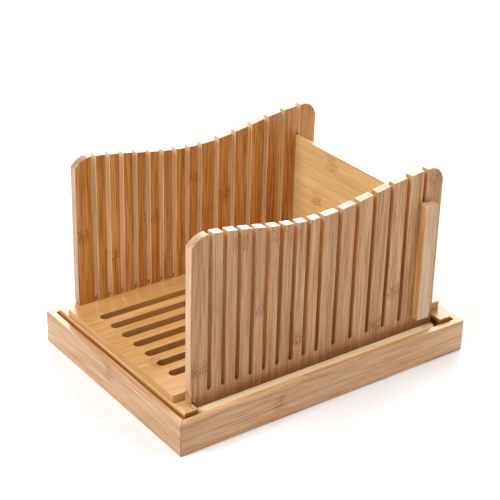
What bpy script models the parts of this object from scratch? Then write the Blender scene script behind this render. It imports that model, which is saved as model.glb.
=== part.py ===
"""Bread slicer guide in bamboo: a crumb tray, a slicer base that stands in it,
two comb guides that drop into the base, and a back board that locks them.

Metres, +Z up. The origin is on the table, under the middle of the tray.
The loaf lies along X, with its front end at -X and the back board at +X.
The right guide is at -Y and the left guide at +Y, as seen from the front.
"""

import math

import bmesh
import bpy


# Crumb tray

TRAY_LENGTH = 0.360
TRAY_WIDTH = 0.260
TRAY_HEIGHT = 0.036
TRAY_WALL = 0.008
FLOOR_THICKNESS = 0.004
FLOOR_RAISE = 0.002
FLOOR_TONGUE = 0.003
SPLINE_COVER = 0.0013
SPLINE_THICKNESS = 0.0026
SPLINE_ABOVE_FLOOR = 0.004
SPLINE_BELOW_TOP = 0.006

# Slicer base

BASE_END_CLEARANCE = 0.0025
BATTEN_END_CLEARANCE = 0.0014
BATTEN_WIDTH = 0.0158
BATTEN_HEIGHT = 0.0338
BOARD_THICKNESS = 0.0084
CRUMB_SLOT_COUNT = 7
CRUMB_SLOT_WIDTH = 0.0105
CRUMB_SLOT_SIDE_MARGIN = 0.0343
CRUMB_SLOT_END_MARGIN = 0.0028
RAIL_LIFT = 0.003
RAIL_DROP = 0.0065
RAIL_LEDGE_INSET = 0.0005
RAIL_LIP_HEIGHT = 0.0122
RAIL_LIP_WIDTH = 0.0102
RAIL_LIP_CLEARANCE = 0.0004
RAIL_ROUND = 0.006
LIP_END_GAP = 0.0032
LIP_END_RADIUS = 0.0095
STOP_CLEARANCE = 0.0005
STOP_TIP = 0.001

# Comb guides

GUIDE_FRONT_OVERLAP = 0.0023
GUIDE_REAR_GAP = 0.0037
GUIDE_THICKNESS = 0.0095
GUIDE_SIDE_CLEARANCE = 0.0005
GUIDE_RISE = 0.1670
GUIDE_DIP = 0.0176
DIP_OFFSET = 0.005
CREST_INSET = 0.0035
FRONT_CORNER_RADIUS = 0.029
FRONT_CORNER_RUN = 0.0225
REAR_CORNER_RADIUS = 0.0175
REAR_FOOT_RADIUS = 0.012
LOWER_CORNER_RISE = 0.0166
KNIFE_SLOT_WIDTH = 0.005
FIRST_SLOT = 0.0215
LAST_SLOT = 0.0241
NARROW_SLICE = 0.0162
NARROW_SLOTS = 9
WIDE_SLOTS = 5

# Back board

PANEL_CLEARANCE = 0.0003
PANEL_RISE = 0.1312
PANEL_TONGUE = 0.004
CLEAT_WIDTH = 0.0155
CLEAT_THICKNESS = 0.010
CLEAT_LEAD = 0.0028
CLEAT_CLEARANCE = 0.0004

# Hidden fixings

DOWEL_RADIUS_SHARE = 0.248
DOWEL_LENGTH = 0.022
DOWEL_CLEARANCE = 0.0003
DOWEL_SIDE_COVER = 0.0018
SCREW_HEAD_RADIUS = 0.0038
SCREW_HEAD_HEIGHT = 0.0026
SCREW_SHANK_RADIUS = 0.0018
SCREW_TIP_LENGTH = 0.003
SCREW_LENGTH = 0.026
SCREW_COVER = 0.0024
SCREW_CLEARANCE = 0.0003
SCREW_PLACE_SHARES = (-0.42, -0.15, 0.15, 0.42)

# Fits and finish

SEAT_GAP = 0.0003
SOFT_EDGE = 0.0008
THIN_SOFT_EDGE = 0.0005
CUT_OVERRUN = 0.002
WELD_DISTANCE = 0.000001

ROUND_SIDES = 12
CORNER_STEPS = 6
BIG_CORNER_STEPS = 8
SLOT_END_STEPS = 6

# Heights, from the table up

FLOOR_TOP = FLOOR_RAISE + FLOOR_THICKNESS
BASE_BOTTOM = FLOOR_TOP + SEAT_GAP
BATTEN_TOP = BASE_BOTTOM + BATTEN_HEIGHT
BOARD_BOTTOM = BATTEN_TOP + SEAT_GAP
BOARD_TOP = BOARD_BOTTOM + BOARD_THICKNESS
RAIL_BOTTOM = BASE_BOTTOM + RAIL_LIFT
RAIL_TOP = BATTEN_TOP - RAIL_DROP
LEDGE_TOP = RAIL_TOP - RAIL_LIP_HEIGHT
LEDGE_MIDDLE = (RAIL_BOTTOM + LEDGE_TOP) / 2
GUIDE_BOTTOM = LEDGE_TOP + SEAT_GAP
LOWER_CORNER_Z = BATTEN_TOP + LOWER_CORNER_RISE
LOWER_CORNER_RADIUS = LOWER_CORNER_Z - GUIDE_BOTTOM
GUIDE_CREST = BOARD_TOP + GUIDE_RISE
PANEL_TOP = BOARD_TOP + PANEL_RISE
CLEAT_BOTTOM = BOARD_TOP
SCREW_TIP = BOARD_TOP - SCREW_COVER
SCREW_HEAD = SCREW_TIP - SCREW_LENGTH
SPLINE_BOTTOM = FLOOR_TOP + SPLINE_ABOVE_FLOOR
SPLINE_TOP = TRAY_HEIGHT - SPLINE_BELOW_TOP

# Places along the length

BASE_LENGTH = TRAY_LENGTH - 2 * (TRAY_WALL + BASE_END_CLEARANCE)
BASE_FRONT = -BASE_LENGTH / 2
BASE_REAR = BASE_LENGTH / 2
FRONT_BATTEN_REAR = BASE_FRONT + BATTEN_WIDTH
REAR_BATTEN_FRONT = BASE_REAR - BATTEN_WIDTH
GUIDE_FRONT = FRONT_BATTEN_REAR - GUIDE_FRONT_OVERLAP
GUIDE_REAR = REAR_BATTEN_FRONT - GUIDE_REAR_GAP
GUIDE_MIDDLE = (GUIDE_FRONT + GUIDE_REAR) / 2
GUIDE_LENGTH = GUIDE_REAR - GUIDE_FRONT
LIP_REAR = REAR_BATTEN_FRONT - LIP_END_GAP
DIP_X = GUIDE_MIDDLE - DIP_OFFSET
DIP_HALF_SPAN = GUIDE_LENGTH / 2 - CREST_INSET
NARROW_RUN = (NARROW_SLOTS - 1) * NARROW_SLICE
WIDE_SLICE = (GUIDE_LENGTH - FIRST_SLOT - NARROW_RUN - LAST_SLOT) / (WIDE_SLOTS + 1)
PANEL_THICKNESS = KNIFE_SLOT_WIDTH - 2 * PANEL_CLEARANCE

# Places across the width

BATTEN_LENGTH = TRAY_WIDTH - 2 * (TRAY_WALL + BATTEN_END_CLEARANCE)
RAIL_OUTSIDE = BATTEN_LENGTH / 2
LIP_INSIDE = RAIL_OUTSIDE - RAIL_LIP_WIDTH
GUIDE_OUTSIDE = LIP_INSIDE - RAIL_LIP_CLEARANCE
GUIDE_INSIDE = GUIDE_OUTSIDE - GUIDE_THICKNESS
GUIDE_Y = (GUIDE_INSIDE + GUIDE_OUTSIDE) / 2
LEDGE_INSIDE = GUIDE_INSIDE - RAIL_LEDGE_INSET
BOARD_WIDTH = 2 * (GUIDE_INSIDE - GUIDE_SIDE_CLEARANCE)
CRUMB_SLOT_PITCH = (BOARD_WIDTH - 2 * CRUMB_SLOT_SIDE_MARGIN) / (CRUMB_SLOT_COUNT - 1)
CLEAT_INSIDE = GUIDE_OUTSIDE + CLEAT_CLEARANCE
PANEL_HALF_LENGTH = CLEAT_INSIDE + PANEL_TONGUE - SEAT_GAP

# Sizes that follow from the wood around them

MITRE_PULL = SEAT_GAP / math.sqrt(2)
SPLINE_REACH = TRAY_WALL / math.sqrt(2) - SPLINE_THICKNESS / 2 - SPLINE_COVER
DOWEL_RADIUS = DOWEL_RADIUS_SHARE * (LEDGE_TOP - RAIL_BOTTOM)
DOWEL_OFFSET = (RAIL_OUTSIDE - LEDGE_INSIDE) / 2 - DOWEL_RADIUS - DOWEL_SIDE_COVER

# Finishes, as colour, roughness and metallic value

BAMBOO = ((0.70, 0.44, 0.20), 0.45, 0)
DARK_BAMBOO = ((0.58, 0.34, 0.14), 0.5, 0)
PALE_BAMBOO = ((0.78, 0.53, 0.27), 0.45, 0)
STEEL = ((0.62, 0.62, 0.60), 0.35, 1)


# Scene and collections

def clear_scene():
    for scene_object in list(bpy.data.objects):
        bpy.data.objects.remove(scene_object, do_unlink=True)


def new_collection(name):
    collection = bpy.data.collections.new(name)
    bpy.context.scene.collection.children.link(collection)
    return collection


def move_to(collection, thing):
    for owner in list(thing.users_collection):
        owner.objects.unlink(thing)
    collection.objects.link(thing)


def material(name, colour, roughness, metallic):
    made = bpy.data.materials.new(name + "_finish")
    made.use_nodes = True
    shader = made.node_tree.nodes["Principled BSDF"]
    shader.inputs["Base Color"].default_value = (*colour, 1.0)
    shader.inputs["Roughness"].default_value = roughness
    shader.inputs["Metallic"].default_value = metallic
    return made


# Shapes

def finish(thing, name, collection, look=None):
    thing.name = name
    thing.data.name = name
    if look is not None:
        thing.data.materials.clear()
        thing.data.materials.append(material(name, *look))
    move_to(collection, thing)
    return thing


def box(low, high):
    centre = [(a + b) / 2 for a, b in zip(low, high)]
    size = [b - a for a, b in zip(low, high)]
    bpy.ops.mesh.primitive_cube_add(size=1, location=centre)
    block = bpy.context.object
    block.scale = size
    bpy.ops.object.transform_apply(location=False, rotation=False, scale=True)
    return block


def rod(radius, length, centre, rotation=(0, 0, 0)):
    bpy.ops.mesh.primitive_cylinder_add(
        vertices=ROUND_SIDES, radius=radius, depth=length,
        location=centre, rotation=rotation)
    return bpy.context.object


def plate(loops, thickness, centre, rotation=(0, 0, 0)):
    """A flat plate from closed outlines, of which the inner ones are holes."""
    outline = bpy.data.curves.new("outline", "CURVE")
    outline.dimensions = "2D"
    outline.fill_mode = "BOTH"
    outline.extrude = thickness / 2
    for loop in loops:
        spline = outline.splines.new("POLY")
        spline.points.add(len(loop) - 1)
        for point, (u, v) in zip(spline.points, loop):
            point.co = (u, v, 0, 1)
        spline.use_cyclic_u = True
    drawn = bpy.data.objects.new("outline", outline)
    drawn.location = centre
    drawn.rotation_euler = rotation
    bpy.context.scene.collection.objects.link(drawn)
    solid = frozen(drawn)
    tidy = bmesh.new()
    tidy.from_mesh(solid.data)
    bmesh.ops.remove_doubles(tidy, verts=tidy.verts, dist=WELD_DISTANCE)
    bmesh.ops.dissolve_limit(
        tidy, angle_limit=math.radians(0.5), verts=tidy.verts, edges=tidy.edges)
    bmesh.ops.recalc_face_normals(tidy, faces=tidy.faces)
    tidy.to_mesh(solid.data)
    tidy.free()
    return solid


def frozen(thing):
    """The evaluated mesh of an object, as a mesh object in its place."""
    bpy.context.view_layer.update()
    graph = bpy.context.evaluated_depsgraph_get()
    mesh = bpy.data.meshes.new_from_object(thing.evaluated_get(graph))
    solid = bpy.data.objects.new(thing.name, mesh)
    bpy.context.scene.collection.objects.link(solid)
    solid.matrix_world = thing.matrix_world
    bpy.data.objects.remove(thing, do_unlink=True)
    return solid


def joined(things):
    bpy.ops.object.select_all(action="DESELECT")
    for thing in things:
        thing.select_set(True)
    bpy.context.view_layer.objects.active = things[0]
    bpy.ops.object.join()
    return bpy.context.object


def soften(thing, width):
    bevel = thing.modifiers.new("soft edges", "BEVEL")
    bevel.width = width
    bevel.segments = 1
    bevel.limit_method = "ANGLE"
    bevel.angle_limit = math.radians(40)


def cut(thing, cutter):
    boolean = thing.modifiers.new("cut", "BOOLEAN")
    boolean.operation = "DIFFERENCE"
    boolean.solver = "EXACT"
    boolean.object = cutter


def as_cutter(thing, name, collection):
    finish(thing, name, collection)
    thing.hide_render = True
    thing.display_type = "WIRE"
    return thing


def shade_round(thing):
    thing.data.shade_smooth()
    thing.data.set_sharp_from_angle(angle=math.radians(40))


def arc(centre_u, centre_v, radius, start, end, steps):
    """Points on an arc, from the start angle to the end angle, in degrees."""
    points = []
    for step in range(steps + 1):
        angle = math.radians(start + (end - start) * step / steps)
        points.append((centre_u + radius * math.cos(angle),
                       centre_v + radius * math.sin(angle)))
    return points


def carrier(name, place, parent, collection):
    """An empty on a slide's axis, which carries what slides."""
    empty = bpy.data.objects.new(name, None)
    empty.location = place
    collection.objects.link(empty)
    bpy.context.view_layer.update()
    if parent is not None:
        adopt(parent, empty)
    return empty


def adopt(parent, child):
    bpy.context.view_layer.update()
    child.parent = parent
    child.matrix_parent_inverse = parent.matrix_world.inverted()


# Crumb tray

def end_wall_loop(side):
    """The front wall's plan at side -1, and the rear wall's at side 1."""
    outer = side * TRAY_LENGTH / 2
    inner = side * (TRAY_LENGTH / 2 - TRAY_WALL)
    outer_half = TRAY_WIDTH / 2 - MITRE_PULL
    inner_half = TRAY_WIDTH / 2 - TRAY_WALL - MITRE_PULL
    return [(outer, -outer_half), (inner, -inner_half), (inner, inner_half), (outer, outer_half)]


def side_wall_loop(side):
    """The right wall's plan at side -1, and the left wall's at side 1."""
    outer = side * TRAY_WIDTH / 2
    inner = side * (TRAY_WIDTH / 2 - TRAY_WALL)
    outer_half = TRAY_LENGTH / 2 - MITRE_PULL
    inner_half = TRAY_LENGTH / 2 - TRAY_WALL - MITRE_PULL
    return [(-outer_half, outer), (-inner_half, inner), (inner_half, inner), (outer_half, outer)]


def tray_corners():
    """The middle of each mitre in plan, and the angle that a spline lies at."""
    half_length = TRAY_LENGTH / 2 - TRAY_WALL / 2
    half_width = TRAY_WIDTH / 2 - TRAY_WALL / 2
    places = []
    for x_side in (-1, 1):
        for y_side in (-1, 1):
            angle = math.radians(-45 * x_side * y_side)
            places.append((x_side * half_length, y_side * half_width, angle))
    return places


def tray_splines(clearance):
    """The flat key across each mitre, or its slot if it is given a clearance."""
    reach = SPLINE_REACH + clearance
    half_thick = SPLINE_THICKNESS / 2 + clearance
    half_height = (SPLINE_TOP - SPLINE_BOTTOM) / 2 + clearance
    keys = []
    for x, y, angle in tray_corners():
        key = box((-reach, -half_thick, -half_height), (reach, half_thick, half_height))
        key.location = (x, y, (SPLINE_BOTTOM + SPLINE_TOP) / 2)
        key.rotation_euler = (0, 0, angle)
        keys.append(key)
    return keys


def floor_block(clearance):
    """The floor panel, or the groove that it slides into in the walls."""
    half_length = TRAY_LENGTH / 2 - TRAY_WALL + FLOOR_TONGUE
    half_width = TRAY_WIDTH / 2 - TRAY_WALL + FLOOR_TONGUE
    return box(
        (-half_length - clearance, -half_width - clearance, FLOOR_RAISE - clearance),
        (half_length + clearance, half_width + clearance, FLOOR_TOP + clearance))


def crumb_tray(parts, cutters):
    groove = as_cutter(floor_block(SEAT_GAP), "floor_groove", cutters)
    slots = as_cutter(joined(tray_splines(SEAT_GAP)), "spline_slots", cutters)
    middle = (0, 0, TRAY_HEIGHT / 2)
    plans = {
        "tray_front_wall": end_wall_loop(-1),
        "tray_rear_wall": end_wall_loop(1),
        "tray_right_wall": side_wall_loop(-1),
        "tray_left_wall": side_wall_loop(1),
    }
    for name, plan in plans.items():
        wall = plate([plan], TRAY_HEIGHT, middle)
        finish(wall, name, parts, BAMBOO)
        soften(wall, SOFT_EDGE)
        cut(wall, groove)
        cut(wall, slots)
    finish(floor_block(0), "tray_floor", parts, PALE_BAMBOO)
    for number, key in enumerate(tray_splines(0), 1):
        finish(key, f"tray_corner_spline_{number}", parts, PALE_BAMBOO)


# Slicer base

def crumb_slot_loop(middle_y):
    half_width = CRUMB_SLOT_WIDTH / 2
    half_length = REAR_BATTEN_FRONT - CRUMB_SLOT_END_MARGIN - half_width
    rear = arc(half_length, middle_y, half_width, -90, 90, SLOT_END_STEPS)
    front = arc(-half_length, middle_y, half_width, 90, 270, SLOT_END_STEPS)
    return rear + front


def cutting_board(parts):
    half_width = BOARD_WIDTH / 2
    edge = [(BASE_FRONT, -half_width), (BASE_REAR, -half_width),
            (BASE_REAR, half_width), (BASE_FRONT, half_width)]
    loops = [edge]
    for index in range(CRUMB_SLOT_COUNT):
        place = (index - (CRUMB_SLOT_COUNT - 1) / 2) * CRUMB_SLOT_PITCH
        loops.append(crumb_slot_loop(place))
    board = plate(loops, BOARD_THICKNESS, (0, 0, BOARD_BOTTOM + BOARD_THICKNESS / 2))
    soften(board, THIN_SOFT_EDGE)
    return finish(board, "cutting_board", parts, PALE_BAMBOO)


def dowel_places(side):
    """The joints at one side rail's ends: two dowels, side by side, at each."""
    middle_y = side * (LEDGE_INSIDE + RAIL_OUTSIDE) / 2
    places = []
    for joint_x in (FRONT_BATTEN_REAR, REAR_BATTEN_FRONT):
        for offset in (-DOWEL_OFFSET, DOWEL_OFFSET):
            places.append((joint_x, middle_y + offset, LEDGE_MIDDLE))
    return places


def rail_dowels(side, clearance):
    """The dowels at a rail's ends, or their holes if given a clearance."""
    turn = (0, math.pi / 2, 0)
    length = DOWEL_LENGTH + 2 * clearance
    return [rod(DOWEL_RADIUS + clearance, length, place, turn) for place in dowel_places(side)]


def screw_places(batten_middle):
    return [(batten_middle, share * BOARD_WIDTH) for share in SCREW_PLACE_SHARES]


def turned(profile, x, y):
    """A shape turned about an upright axis, from its radii and heights."""
    mesh = bpy.data.meshes.new("profile")
    points = [(radius, 0, z) for radius, z in profile]
    edges = [(index, index + 1) for index in range(len(points) - 1)]
    mesh.from_pydata(points, edges, [])
    shape = bpy.data.objects.new("profile", mesh)
    bpy.context.scene.collection.objects.link(shape)
    shape.location = (x, y, 0)
    spin = shape.modifiers.new("turn", "SCREW")
    spin.axis = "Z"
    spin.steps = ROUND_SIDES
    spin.render_steps = ROUND_SIDES
    spin.use_merge_vertices = True
    spin.merge_threshold = WELD_DISTANCE
    return frozen(shape)


def screw(x, y):
    """A countersunk wood screw, driven up through a batten into the board."""
    return turned([
        (0, SCREW_TIP),
        (SCREW_SHANK_RADIUS, SCREW_TIP - SCREW_TIP_LENGTH),
        (SCREW_SHANK_RADIUS, SCREW_HEAD + SCREW_HEAD_HEIGHT),
        (SCREW_HEAD_RADIUS, SCREW_HEAD),
        (0, SCREW_HEAD),
    ], x, y)


def screw_bore(x, y):
    """The counterbore, countersink and pilot hole that one screw needs."""
    head_radius = SCREW_HEAD_RADIUS + SCREW_CLEARANCE
    shank_radius = SCREW_SHANK_RADIUS + SCREW_CLEARANCE
    low = BASE_BOTTOM - CUT_OVERRUN
    return turned([
        (0, SCREW_TIP + SCREW_CLEARANCE),
        (shank_radius, SCREW_TIP + SCREW_CLEARANCE),
        (shank_radius, SCREW_HEAD + SCREW_HEAD_HEIGHT + SCREW_CLEARANCE),
        (head_radius, SCREW_HEAD),
        (head_radius, low),
        (0, low),
    ], x, y)


def rail_loop(side):
    """A side rail's section: a ledge under the guide and a round-topped lip."""
    crown = arc(RAIL_OUTSIDE - RAIL_ROUND, RAIL_TOP - RAIL_ROUND, RAIL_ROUND, 0, 90, CORNER_STEPS)
    section = [(LEDGE_INSIDE, RAIL_BOTTOM), (RAIL_OUTSIDE, RAIL_BOTTOM)]
    section += crown
    section += [(LIP_INSIDE, RAIL_TOP), (LIP_INSIDE, LEDGE_TOP), (LEDGE_INSIDE, LEDGE_TOP)]
    return [(side * y, z) for y, z in section]


def lip_end_loop(side):
    """In plan, what is cut off a lip to end it in a quarter round before the rear batten."""
    middle = RAIL_OUTSIDE - LIP_END_RADIUS
    beyond = RAIL_OUTSIDE + CUT_OVERRUN
    rear = REAR_BATTEN_FRONT + CUT_OVERRUN
    outline = [(rear, LIP_INSIDE - CUT_OVERRUN), (LIP_REAR, LIP_INSIDE - CUT_OVERRUN)]
    outline += arc(LIP_REAR - LIP_END_RADIUS, middle, LIP_END_RADIUS, 0, 90, CORNER_STEPS)
    outline += [(LIP_REAR - LIP_END_RADIUS, beyond), (rear, beyond)]
    return [(x, side * y) for x, y in outline]


def side_rail(side, name, parts, cutters):
    front = FRONT_BATTEN_REAR + SEAT_GAP
    rear = REAR_BATTEN_FRONT - SEAT_GAP
    turn = (math.pi / 2, 0, math.pi / 2)
    rail = plate([rail_loop(side)], rear - front, ((front + rear) / 2, 0, 0), turn)
    soften(rail, THIN_SOFT_EDGE)
    high = RAIL_TOP + CUT_OVERRUN
    lip_end = plate([lip_end_loop(side)], high - LEDGE_TOP, (0, 0, (high + LEDGE_TOP) / 2))
    cut(rail, as_cutter(lip_end, name + "_lip_end", cutters))
    return finish(rail, name, parts, BAMBOO)


def stop_loop():
    """A corner stop's side view: a block hollowed to the guide's round corner."""
    centre_x = GUIDE_FRONT + LOWER_CORNER_RADIUS
    radius = LOWER_CORNER_RADIUS + STOP_CLEARANCE
    low = BATTEN_TOP + SEAT_GAP
    high = LOWER_CORNER_Z - math.sqrt(radius ** 2 - (LOWER_CORNER_RADIUS - STOP_TIP) ** 2)
    hollow = []
    for step in range(CORNER_STEPS + 1):
        z = low + (high - low) * step / CORNER_STEPS
        x = centre_x - math.sqrt(radius ** 2 - (LOWER_CORNER_Z - z) ** 2)
        hollow.append((min(x, FRONT_BATTEN_REAR), z))
    return [(GUIDE_FRONT, low)] + hollow + [(GUIDE_FRONT, high)]


def corner_stop(side):
    turn = (math.pi / 2, 0, 0)
    return plate([stop_loop()], GUIDE_THICKNESS, (0, side * GUIDE_Y, 0), turn)


def slicer_base(parts, cutters, lift):
    board = cutting_board(parts)
    made = [board]

    half = BATTEN_LENGTH / 2
    spans = {
        "front": (BASE_FRONT, FRONT_BATTEN_REAR),
        "rear": (REAR_BATTEN_FRONT, BASE_REAR),
    }
    battens = []
    for end, (front, rear) in spans.items():
        batten = box((front, -half, BASE_BOTTOM), (rear, half, BATTEN_TOP))
        finish(batten, end + "_batten", parts, BAMBOO)
        soften(batten, SOFT_EDGE)
        places = screw_places((front + rear) / 2)
        bores = joined([screw_bore(x, y) for x, y in places])
        as_cutter(bores, end + "_screw_bores", cutters)
        cut(batten, bores)
        cut(board, bores)
        battens.append(batten)
        made.append(batten)
        for number, (x, y) in enumerate(places, 1):
            made.append(finish(screw(x, y), f"{end}_batten_screw_{number}", parts, STEEL))
            shade_round(made[-1])

    for side, word in ((-1, "right"), (1, "left")):
        rail = side_rail(side, word + "_rail", parts, cutters)
        holes = as_cutter(joined(rail_dowels(side, DOWEL_CLEARANCE)), word + "_dowel_holes", cutters)
        cut(rail, holes)
        for batten in battens:
            cut(batten, holes)
        made.append(rail)
        for number, dowel in enumerate(rail_dowels(side, 0), 1):
            made.append(finish(dowel, f"{word}_rail_dowel_{number}", parts, PALE_BAMBOO))
            shade_round(dowel)
        made.append(finish(corner_stop(side), word + "_corner_stop", parts, DARK_BAMBOO))
    for piece in made:
        adopt(lift, piece)


# Comb guides

def slot_places():
    """Slot centres along X, of which the last one holds the back board."""
    places = []
    x = GUIDE_FRONT + FIRST_SLOT
    for _ in range(NARROW_SLOTS):
        places.append(x)
        x += NARROW_SLICE
    x += WIDE_SLICE - NARROW_SLICE
    for _ in range(WIDE_SLOTS):
        places.append(x)
        x += WIDE_SLICE
    places.append(x)
    return places


BACK_BOARD_X = slot_places()[-1]


def top_height(x):
    """The top edge: a dip in the middle, two crests, and rounded ends."""
    reach = min(abs(x - DIP_X) / DIP_HALF_SPAN, 1)
    height = GUIDE_CREST - GUIDE_DIP * math.cos(reach * math.pi / 2) ** 2
    ends = (
        (x - GUIDE_FRONT, FRONT_CORNER_RADIUS, FRONT_CORNER_RUN),
        (GUIDE_REAR - x, REAR_CORNER_RADIUS, REAR_CORNER_RADIUS),
    )
    for inset, radius, run in ends:
        if inset < run:
            height += math.sqrt(max(radius ** 2 - (run - inset) ** 2, 0)) - radius
    return height


def top_corner(end, direction, radius, run, length):
    """Top edge points from a guide's end, on an arc that the run or a slot ends."""
    start = math.asin(run / radius)
    stop = math.asin(max(run - length, 0) / radius)
    points = []
    for step in range(CORNER_STEPS + 1):
        angle = start + (stop - start) * step / CORNER_STEPS
        x = end + direction * (run - radius * math.sin(angle))
        points.append((x, top_height(x)))
    return points


def guide_loop():
    """A guide's side view, with its slots open at the top."""
    low = LOWER_CORNER_RADIUS
    foot = REAR_FOOT_RADIUS
    half = KNIFE_SLOT_WIDTH / 2
    places = slot_places()
    loop = arc(GUIDE_FRONT + low, LOWER_CORNER_Z, low, 270, 180, BIG_CORNER_STEPS)
    loop += top_corner(GUIDE_FRONT, 1, FRONT_CORNER_RADIUS, FRONT_CORNER_RUN, FIRST_SLOT - half)
    for place in places:
        loop.append((place - half, top_height(place - half)))
        loop += arc(place, BOARD_TOP + half, half, 180, 360, SLOT_END_STEPS)
        loop.append((place + half, top_height(place + half)))
    loop += reversed(top_corner(
        GUIDE_REAR, -1, REAR_CORNER_RADIUS, REAR_CORNER_RADIUS, LAST_SLOT - half))
    loop += arc(GUIDE_REAR - foot, GUIDE_BOTTOM + foot, foot, 0, -90, CORNER_STEPS)
    return loop


def comb_guide(side, name, lift, parts):
    turn = (math.pi / 2, 0, 0)
    guide = plate([guide_loop()], GUIDE_THICKNESS, (0, side * GUIDE_Y, 0), turn)
    finish(guide, name, parts, BAMBOO)
    soften(guide, THIN_SOFT_EDGE)
    adopt(lift, guide)


# Back board

def back_board(parts, cutters, lift):
    """A panel that slides down the rearmost slots, let into two end cleats."""
    front = BACK_BOARD_X - PANEL_THICKNESS / 2
    rear = BACK_BOARD_X + PANEL_THICKNESS / 2
    panel_bottom = BOARD_TOP + KNIFE_SLOT_WIDTH / 2
    panel = box((front, -PANEL_HALF_LENGTH, panel_bottom), (rear, PANEL_HALF_LENGTH, PANEL_TOP))
    finish(panel, "back_panel", parts, PALE_BAMBOO)
    adopt(lift, panel)

    gap = SEAT_GAP
    groove = box(
        (front - gap, -PANEL_HALF_LENGTH - gap, panel_bottom - gap),
        (rear + gap, PANEL_HALF_LENGTH + gap, PANEL_TOP + CUT_OVERRUN))
    as_cutter(groove, "cleat_grooves", cutters)
    cleat_front = front - CLEAT_LEAD
    cleat_rear = cleat_front + CLEAT_WIDTH
    for side, word in ((-1, "right"), (1, "left")):
        edges = sorted((side * CLEAT_INSIDE, side * (CLEAT_INSIDE + CLEAT_THICKNESS)))
        cleat = box((cleat_front, edges[0], CLEAT_BOTTOM), (cleat_rear, edges[1], PANEL_TOP))
        finish(cleat, word + "_cleat", parts, BAMBOO)
        soften(cleat, SOFT_EDGE)
        cut(cleat, groove)
        adopt(lift, cleat)


def main():
    clear_scene()
    parts = new_collection("bread_slicer_guide")
    cutters = new_collection("cutters")

    base_lift = carrier("slicer_lift_axis", (0, 0, BASE_BOTTOM), None, parts)
    left_place = (GUIDE_MIDDLE, GUIDE_Y, GUIDE_BOTTOM)
    left_lift = carrier("left_guide_lift_axis", left_place, base_lift, parts)
    right_place = (GUIDE_MIDDLE, -GUIDE_Y, GUIDE_BOTTOM)
    right_lift = carrier("right_guide_lift_axis", right_place, base_lift, parts)
    board_lift = carrier("back_board_lift_axis", (BACK_BOARD_X, 0, BOARD_TOP), left_lift, parts)

    crumb_tray(parts, cutters)
    slicer_base(parts, cutters, base_lift)
    comb_guide(1, "left_guide", left_lift, parts)
    comb_guide(-1, "right_guide", right_lift, parts)
    back_board(parts, cutters, board_lift)


main()
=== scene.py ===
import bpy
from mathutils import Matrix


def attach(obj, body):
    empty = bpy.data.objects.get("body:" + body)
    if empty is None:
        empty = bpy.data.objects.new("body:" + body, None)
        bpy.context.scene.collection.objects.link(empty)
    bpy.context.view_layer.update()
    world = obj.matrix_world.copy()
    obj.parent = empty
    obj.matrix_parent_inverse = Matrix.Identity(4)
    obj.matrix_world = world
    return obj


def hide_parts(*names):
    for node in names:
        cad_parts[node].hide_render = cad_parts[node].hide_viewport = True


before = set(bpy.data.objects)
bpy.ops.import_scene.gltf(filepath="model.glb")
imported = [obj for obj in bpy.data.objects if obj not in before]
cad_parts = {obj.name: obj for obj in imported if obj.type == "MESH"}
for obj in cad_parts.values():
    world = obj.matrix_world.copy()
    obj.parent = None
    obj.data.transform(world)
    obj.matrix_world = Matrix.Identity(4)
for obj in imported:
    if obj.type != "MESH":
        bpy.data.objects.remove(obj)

"""Bread slicer guide in bamboo, dressed for the camera.

Every piece is made at its place in the row frame, in metres, from the same
outlines as the solids, with finer arcs and rounded arrises.
"""

import math

import bmesh
import bpy
from mathutils import Matrix, Vector

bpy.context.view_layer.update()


# Sizes of the object, as in the solids

TRAY_LENGTH = 0.360
TRAY_WIDTH = 0.260
TRAY_HEIGHT = 0.036
TRAY_WALL = 0.008
GROOVE_BOTTOM = 0.0017
GROOVE_TOP = 0.0063
GROOVE_DEPTH = 0.0033
MITRE_PULL = 0.000212
SPLINE_X = 0.176
SPLINE_Y = 0.126
SPLINE_SLOT = (0.00336, 0.0016)
SPLINE_HEIGHTS = (0.0097, 0.0303)

BASE_END = 0.1695
BATTEN_INNER = 0.1537
BATTEN_HALF = 0.1206
BASE_BOTTOM = 0.0063
BATTEN_TOP = 0.0401
BOARD_BOTTOM = 0.0404
BOARD_TOP = 0.0488
BOARD_HALF = 0.100
CRUMB_PITCH = 0.0219
CRUMB_HALF_WIDTH = 0.00525
CRUMB_CENTRE_X = 0.14565

RAIL_INSIDE = 0.100
RAIL_OUTSIDE = 0.1206
RAIL_LIP = 0.1104
RAIL_BOTTOM = 0.0093
RAIL_LEDGE = 0.0214
RAIL_TOP = 0.0336
RAIL_ROUND = 0.006
RAIL_END = 0.1534
LIP_REAR = 0.1505
LIP_END_RADIUS = 0.0095
DOWEL_Z = 0.01535
DOWEL_RADIUS = 0.003
DOWEL_Y = (0.1048, 0.1158)
DOWEL_REACH = 0.0113

GUIDE_FRONT = -0.156
GUIDE_REAR = 0.150
GUIDE_Y = 0.10525
GUIDE_THICKNESS = 0.0095
LEFT_INNER_FACE = GUIDE_Y - GUIDE_THICKNESS / 2
CORNER_Z = 0.0567
CORNER_RADIUS = 0.035
GUIDE_CREST = 0.21577
GUIDE_DIP = 0.0176
DIP_X = -0.008
DIP_HALF_SPAN = 0.1495
FRONT_CORNER = (0.029, 0.0225)
REAR_CORNER = (0.0175, 0.0175)
REAR_FOOT_RADIUS = 0.012
SLOT_HALF = 0.0025
NARROW_SLOTS = [-0.1345 + 0.0162 * k for k in range(9)]
WIDE_SLOTS = [-0.0049 + 0.0218 * k for k in range(1, 7)]
SLOTS = NARROW_SLOTS + WIDE_SLOTS
STOP_LOW = 0.0404
STOP_GAP = 0.0002
STOP_INSET = 0.001

PANEL_X = (0.1237, 0.1281)
PANEL_HALF = 0.1141
PANEL_Z = (0.0513, 0.180)
CLEAT_X = (0.1209, 0.1364)
CLEAT_Y = (0.1104, 0.1204)

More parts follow.
